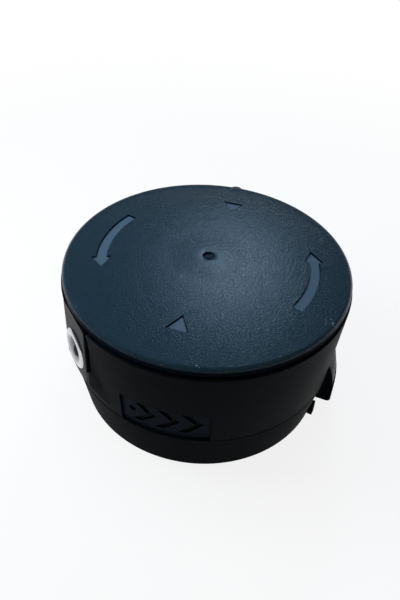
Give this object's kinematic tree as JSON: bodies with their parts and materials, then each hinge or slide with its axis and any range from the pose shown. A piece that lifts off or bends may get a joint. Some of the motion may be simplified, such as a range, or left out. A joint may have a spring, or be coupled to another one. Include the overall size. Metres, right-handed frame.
{
  "type": "trimmer head",
  "caption": "Drum-shaped line trimmer head with a domed lift-and-turn winding cap, spring-loaded spool on a ratchet, metal line eyelets and a threaded arbor for the machine's spindle",
  "frame": {"origin": "on the turning axis in the base plane, where the head stands machine side down", "axes": "+Z along the turning axis towards the cap, +X through the right line eyelet"},
  "size_m": [0.1114, 0.111, 0.0629],
  "materials": {
    "drum_plastic": "satin black nylon",
    "cap_plastic": "spark-eroded black nylon",
    "spool_plastic": "satin",
    "eyelet_metal": "polished",
    "plated_steel": "zinc plated",
    "spring_steel": "drawn wire"
  },
  "bodies": {
    "drum": {"drum_housing": "drum_plastic", "eyelet_right": "eyelet_metal", "eyelet_left": "eyelet_metal", "arbor": "plated_steel", "bearing_washer": "plated_steel", "retaining_washer": "plated_steel", "retaining_screw": "plated_steel", "return_spring": "spring_steel"},
    "carrier": {"thrust_washer": "plated_steel"},
    "reel": {"spool": "spool_plastic", "cap": "cap_plastic"}
  },
  "joints": [
    {"name": "cap_lift", "type": "slide", "parent": "drum", "child": "carrier", "axis": [0, 0, 1], "range_m": [0, 0.006], "stiffness_N_per_m": 3000, "springref_m": -0.004, "deforming": ["return_spring"]},
    {"name": "cap_turn", "type": "hinge", "parent": "carrier", "child": "reel", "pos_m": [0, 0, 0.0383], "axis": [0, 0, 1], "continuous": true}
  ]
}
